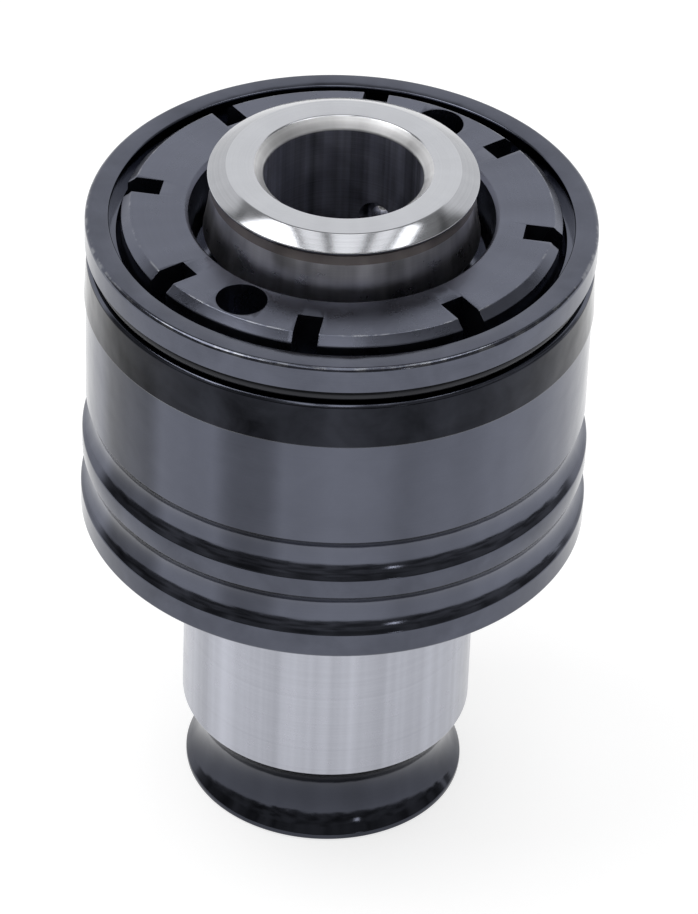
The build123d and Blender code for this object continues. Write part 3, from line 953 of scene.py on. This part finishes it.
class AdapterCup(bpy.types.Operator):
    """Turns the cup with its coves, flange, shank and foot"""

    bl_idname = "adapter.cup"
    bl_label = "Cup and shank"

    def execute(self, context):
        sizes = context.scene.adapter_sizes
        finish = context.scene.adapter_finish
        inset = RIM_ROUND * ROUND_MIDDLE
        outline = [
            (MOUTH_R, 0, 1.5),
            (RIM_R - RIM_ROUND, 0, 0),
            (RIM_R, -RIM_ROUND, 0, (RIM_R - inset, -inset)),
            (RIM_R, GROOVE_TOP_Z, 0.3),
            (GROOVE_R, GROOVE_TOP_Z, 0),
            (GROOVE_R, GROOVE_END_Z, 0),
            (LIP_R, GROOVE_END_Z, 0.6),
            (BODY_R, LIP_END_Z, 1),
            (RIDGE_R, RIDGE_Z, 0.5),
            (BODY_R, RIDGE_END_Z, 0.5),
            (BODY_R, BODY_END_Z, 0.5),
            (RIB_R, RIB_TOP_Z, 1, COVE_1_MID),
            (RIB_R, RIB_END_Z, 0.5),
            (FLANGE_R, FLANGE_TOP_Z, 1, COVE_2_MID),
            (FLANGE_R, FLANGE_EDGE_Z, 1),
            (FLANGE_FACE_R, UNDERSIDE_Z, 1),
            (RELIEF_R, UNDERSIDE_Z, 1),
            (RELIEF_R, RELIEF_TOP_Z, 0),
            (RELIEF_FLOOR_R, RELIEF_TOP_Z, 0),
            (RELIEF_FLOOR_R, RELIEF_END_Z, 0),
            (SHANK_R, SHANK_TOP_Z, 0.5),
            (SHANK_R, SHANK_END_Z, 1),
            (FOOT_R, FOOT_BAND_Z, 1, LOCK_GROOVE_MID),
            (FOOT_R, FOOT_EDGE_Z, 0.5),
            (FOOT_FACE_R, FOOT_Z, 0.5),
            (DRIVE_R, FOOT_Z, 2),
            (DRIVE_R, DRIVE_FLOOR_Z, 0),
            (AIR_R, DRIVE_FLOOR_Z, 1),
            (AIR_R, SHANK_BORE_END_Z, 0),
            (SHANK_BORE_R, SHANK_BORE_END_Z, 0),
            (SHANK_BORE_R, BUSH_END_Z, 0),
            (BUSH_R, BUSH_END_Z, 0),
            (BUSH_R, CUP_FLOOR_Z, 0),
            (THREAD_R, CUP_FLOOR_Z, 0),
            (THREAD_R, MOUTH_END_Z, 0),
            (MOUTH_R, MOUTH_END_Z, 0),
        ]
        cup = turned("cup_and_shank", outline, sizes)
        cutters = [
            upright_cutter(
                CLUTCH_POCKET_R,
                CLUTCH_R,
                number * 360 / CLUTCH_BALLS,
                CLUTCH_SEAT_Z,
                CUP_FLOOR_Z + CUT_OVER,
            )
            for number in range(CLUTCH_BALLS)
        ]
        depth = RING_SLOT_OUTER_R - RING_SLOT_INNER_R
        place = (RING_SLOT_INNER_R + depth / 2, RING_SLOT_SIDE, RING_SLOT_Z)
        cutters.append(box_cutter((depth, RING_SLOT_W, RING_SLOT_H), place, RING_SLOT_ANGLE))
        depth = DRIVE_FLOOR_Z - FOOT_Z + CUT_OVER
        place = (0, 0, DRIVE_FLOOR_Z - depth / 2)
        cutters.append(box_cutter((KEYWAY_L, KEYWAY_W, depth), place))
        cut(cup, cutters)

        black, rough = finish.oxide, finish.oxide_rough
        # The cup and its dark band get painted dark reflections: upright streaks of painted shade.
        oxide = black_oxide("blackened cup", black, rough, dark_reflections=PAINTED_DARK_REFLECTIONS)
        ribs = black_oxide("blackened ribs", shaded(black, RIBS_TONE), rough, mottle=0.15)
        # The rim's round edge is worn bright, which also paints a highlight along it.
        rim = black_oxide(
            "blackened rim", shaded(black, RIM_TONE), rough, mottle=0.12, worn_highlight_edges=(RIM_WEAR_AND_HIGHLIGHT,)
        )
        band = black_oxide(
            "dark band",
            shaded(black, BAND_TONE),
            rough,
            streak=0.25,
            mottle=0.3,
            wave=0.08,
            dark_reflections=PAINTED_DARK_REFLECTIONS,
        )
        # The bands of tone round the shank are partly painted reflections, soft lighter and darker
        # upright streaks.
        ground = turned_steel(
            "ground shank", finish.steel, finish.steel_rough, streak=0.22, bands=3.6, lines=0.05
        )
        foot = black_oxide("glossy foot", shaded(black, FOOT_TONE), rough)

        def on_ribs(radius, height):
            return radius > RIB_R - WIDE_MARGIN and height < RIB_TOP_Z + WIDE_MARGIN

        def on_rim(radius, height):
            return radius > MOUTH_R and height > GROOVE_TOP_Z - SLIM_MARGIN

        def on_band(radius, height):
            return radius > LIP_R and RIDGE_Z < height < LIP_END_Z

        def on_shank(radius, height):
            inner, outer = RELIEF_FLOOR_R - SLIM_MARGIN, SHANK_R + SLIM_MARGIN
            return inner < radius < outer and SHANK_END_Z < height < UNDERSIDE_Z

        def on_foot(radius, height):
            return radius > AIR_R and height < SHANK_END_Z - SLIM_MARGIN

        assign_faces(cup, oxide, lambda radius, height: True)
        assign_faces(cup, ribs, on_ribs)
        assign_faces(cup, rim, on_rim)
        assign_faces(cup, band, on_band)
        assign_faces(cup, ground, on_shank)
        assign_faces(cup, foot, on_foot)
        finish_shape(cup, "body", "body", "body_and_shank")
        return {"FINISHED"}


class AdapterNut(bpy.types.Operator):
    """Turns the adjusting nut and cuts its slots and spanner holes"""

    bl_idname = "adapter.nut"
    bl_label = "Adjusting nut"

    def execute(self, context):
        sizes = context.scene.adapter_sizes
        finish = context.scene.adapter_finish
        outline = [
            (NUT_BORE_TOP_R, NUT_TOP_Z, 0.5),
            (NUT_FACE_R, NUT_TOP_Z, 0.6),
            (NUT_LINE_R, NUT_LINE_Z, 0),
            (NUT_R, 0, 0.8),
            (NUT_R, NUT_RELIEF_Z, 0),
            (NUT_THREAD_R, NUT_THREAD_TOP_Z, 0),
            (NUT_THREAD_R, NUT_BOTTOM_Z, 0.5),
            (NUT_BORE_R, NUT_BOTTOM_Z, 1),
            (NUT_BORE_R, NUT_BORE_TOP_Z, 0.5),
        ]
        nut = turned("slotted_nut", outline, sizes)
        length = NUT_THREAD_R + CUT_OVER - NUT_SLOT_INNER_R
        height = NUT_TOP_Z + CUT_OVER - NUT_SLOT_FLOOR_Z
        size = (length, sizes.slot_width / MM, height)
        place = (NUT_SLOT_INNER_R + length / 2, 0, NUT_SLOT_FLOOR_Z + height / 2)
        cutters = [
            box_cutter(size, place, NUT_SLOT_ANGLE + number * 360 / NUT_SLOTS)
            for number in range(NUT_SLOTS)
        ]
        cutters += [
            upright_cutter(
                SPANNER_HOLE_R,
                SPANNER_HOLE_PLACE_R,
                SPANNER_HOLE_ANGLE + number * 360 / SPANNER_HOLES,
                SPANNER_FLOOR_Z,
                NUT_TOP_Z + CUT_OVER,
            )
            for number in range(SPANNER_HOLES)
        ]
        cut(nut, cutters)
        break_edges(nut, sizes.edge_break, CUT_EDGE_ANGLE)
        oxide = black_oxide(
            "blackened nut",
            # a lighter copy of the blackened steel: painted light on the nut's face
            shaded(finish.oxide, NUT_LIT_TONE),
            rough=0.28,
            wave=0.03,
            marks_depth=0.0025,
            # the outer edge worn bright, which also paints a highlight along it
            worn_highlight_edges=(NUT_WEAR_AND_HIGHLIGHT,),
        )
        nut.data.materials.append(oxide)
        finish_shape(nut, "body", "black_oxide", "adjusting_nut")
        return {"FINISHED"}


class AdapterSleeve(bpy.types.Operator):
    """Turns the release sleeve with its ball tube"""

    bl_idname = "adapter.sleeve"
    bl_label = "Release sleeve"

    def execute(self, context):
        sizes = context.scene.adapter_sizes
        finish = context.scene.adapter_finish
        outline = [
            (TAP_R, SLEEVE_TOP - LEAD_IN, 1),
            (TAP_R + LEAD_IN, SLEEVE_TOP, 0.8),
            (FACE_R, SLEEVE_TOP, 0.8),
            (SLEEVE_R, EDGE_TOP_Z, 0.5),
            (SLEEVE_R, EDGE_END_Z, 0.5),
            (NECK_R, NECK_TOP_Z, 0.5),
            (FLARE_TOP_R, FLARE_TOP_Z, 0),
            (SKIRT_R, SKIRT_END_Z, 1, FLARE_MID),
            (CAVITY_R, SKIRT_END_Z, 1),
            (CAVITY_R, CAVITY_TOP_Z, 0),
            (TUBE_R, CAVITY_TOP_Z, 0),
            (TUBE_R, SEAT_RING_TOP_Z, 0),
            (TUBE_GROOVE_R, SEAT_RING_TOP_Z, 0),
            (TUBE_GROOVE_R, SEAT_RING_END_Z, 0),
            (TUBE_R, SEAT_RING_END_Z, 0),
            (TUBE_R, TUBE_END_Z, 1),
            (TAP_R, TUBE_END_Z, 1),
        ]
        sleeve = turned("sleeve_and_tube", outline, sizes)
        cutters = []
        for number in range(LOCK_BALLS):
            turn = math.radians(LOCK_BALL_ANGLE + number * 360 / LOCK_BALLS)
            place = (TAP_R * math.cos(turn), TAP_R * math.sin(turn), LOCK_BALL_Z)
            cutters.append(round_cutter(LOCK_HOLE_R, LOCK_HOLE_L, place, (0, math.pi / 2, turn)))
        cut(sleeve, cutters)

        # The strong bands of tone in the bore and on the neck are painted reflections, upright grey
        # streaks.
        bore = turned_steel(
            "sleeve bore", BORE_STEEL, rough=0.42, streak=0.55, bands=5.0, lines=0.2
        )
        neck = turned_steel("sleeve neck", finish.neck, rough=0.3, streak=0.4, bands=4.0)
        # The undercut below the sleeve's edge gets a darker brownish steel: painted shade under the
        # edge.
        undercut = turned_steel(
            "undercut painted shade", UNDERCUT_SHADE_STEEL, rough=0.35, streak=0.25, bands=3.0
        )
        bright = turned_steel(
            "sleeve face", finish.face, finish.face_rough, streak=0.03, lines=0.02
        )
        # The chamfer is a darker copy of the sleeve's face: painted shade that dims the soft boxes'
        # highlights on it.
        chamfer = turned_steel(
            "sleeve chamfer", shaded(finish.face, CHAMFER_SHADE_TONE), rough=0.13, streak=0.06, lines=0.06
        )
        lead_in = turned_steel(
            "sleeve lead in",
            LEAD_IN_STEEL,
            rough=0.42,
            depth=0.004,
            streak=0.12,
            grain=4.0,
            lines=0.12,
        )

        def on_neck(radius, height):
            return radius > CAVITY_R and height < FLARE_TOP_Z

        def on_undercut(radius, height):
            return radius > CAVITY_R and FLARE_TOP_Z < height < EDGE_END_Z

        def on_chamfer(radius, height):
            low, high = EDGE_TOP_Z + WIDE_MARGIN, SLEEVE_TOP - WIDE_MARGIN
            return radius > FACE_R and low < height < high

        def on_lead_in(radius, height):
            return radius < TAP_R + LEAD_IN and EDGE_END_Z < height < SLEEVE_TOP - WIDE_MARGIN

        assign_faces(sleeve, bore, lambda radius, height: True)
        assign_faces(sleeve, neck, on_neck)
        assign_faces(sleeve, undercut, on_undercut)
        assign_faces(sleeve, bright, lambda radius, height: height > EDGE_END_Z)
        assign_faces(sleeve, chamfer, on_chamfer)
        assign_faces(sleeve, lead_in, on_lead_in)
        finish_shape(sleeve, "sleeve", "bright_steel", "release_sleeve")
        return {"FINISHED"}


class AdapterSpring(bpy.types.Operator):
    """Makes the coil spring from a copy of its CAD solid"""

    bl_idname = "adapter.spring"
    bl_label = "Coil spring"

    def execute(self, context):
        coil = frame["nodes"]["sleeve_spring"].data.copy()
        spring = bpy.data.objects.new("coil_spring", coil)
        context.scene.collection.objects.link(spring)
        pick(spring)
        bpy.ops.object.mode_set(mode="EDIT")
        bpy.ops.mesh.select_all(action="SELECT")
        bpy.ops.mesh.remove_doubles(threshold=MERGE)
        bpy.ops.mesh.normals_make_consistent(inside=False)
        bpy.ops.object.mode_set(mode="OBJECT")
        coil.materials.clear()
        coil.materials.append(black_oxide("coil steel", SPRING_STEEL, rough=0.3))
        finish_shape(spring, "spindle", "spring_steel", "sleeve_spring")
        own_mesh(spring)
        return {"FINISHED"}


class AdapterInside(bpy.types.Operator):
    """Finishes the pieces that keep their CAD shape"""

    bl_idname = "adapter.inside"
    bl_label = "Springs, bearing, clutch and spindle"

    def execute(self, context):
        finish = context.scene.adapter_finish
        balls = turned_steel(
            "polished balls", BALL_STEEL, rough=0.08, depth=0.0002, streak=0.02, lines=0.01
        )
        materials = {
            "black_oxide": black_oxide("blackened spindle", finish.oxide, finish.oxide_rough),
            "ball_steel": balls,
            "spring_steel": black_oxide("spring steel", SPRING_STEEL, rough=0.3),
            "bronze": turned_steel("bronze", finish.bronze, rough=0.3),
            "ground_steel": turned_steel("ground washers", finish.steel, finish.steel_rough),
        }
        slots = {entry["node"]: entry["material_slot"] for entry in frame["record"]["subparts"]}
        for name, node in frame["nodes"].items():
            if node.hide_render:
                continue
            for place in node.material_slots:
                place.material = materials[slots[name]]
        return {"FINISHED"}


class AdapterPanel(bpy.types.Panel):
    """Lists the steps and the sizes"""

    bl_label = "Tapping adapter"
    bl_idname = "VIEW3D_PT_adapter"
    bl_space_type = "VIEW_3D"
    bl_region_type = "UI"
    bl_category = "Adapter"

    def draw(self, context):
        layout = self.layout
        scene = context.scene
        for group in (scene.adapter_sizes, scene.adapter_finish, scene.adapter_studio):
            box = layout.box()
            for name in group.__annotations__:
                box.prop(group, name)
        for step in STEPS:
            layout.operator(step.bl_idname)


STEPS = (AdapterStage, AdapterCup, AdapterNut, AdapterSleeve, AdapterSpring, AdapterInside)
CLASSES = (AdapterSizes, AdapterFinish, AdapterStudio, *STEPS, AdapterPanel)


def register():
    for entry in CLASSES:
        bpy.utils.register_class(entry)
    bpy.types.Scene.adapter_sizes = PointerProperty(type=AdapterSizes)
    bpy.types.Scene.adapter_finish = PointerProperty(type=AdapterFinish)
    bpy.types.Scene.adapter_studio = PointerProperty(type=AdapterStudio)


def unregister():
    del bpy.types.Scene.adapter_studio
    del bpy.types.Scene.adapter_finish
    del bpy.types.Scene.adapter_sizes
    for entry in reversed(CLASSES):
        bpy.utils.unregister_class(entry)


def main():
    """Runs every step in order."""
    register()
    bpy.ops.adapter.stage()
    bpy.ops.adapter.cup()
    bpy.ops.adapter.nut()
    bpy.ops.adapter.sleeve()
    bpy.ops.adapter.spring()
    bpy.ops.adapter.inside()


if __name__ == "__main__":
    main()
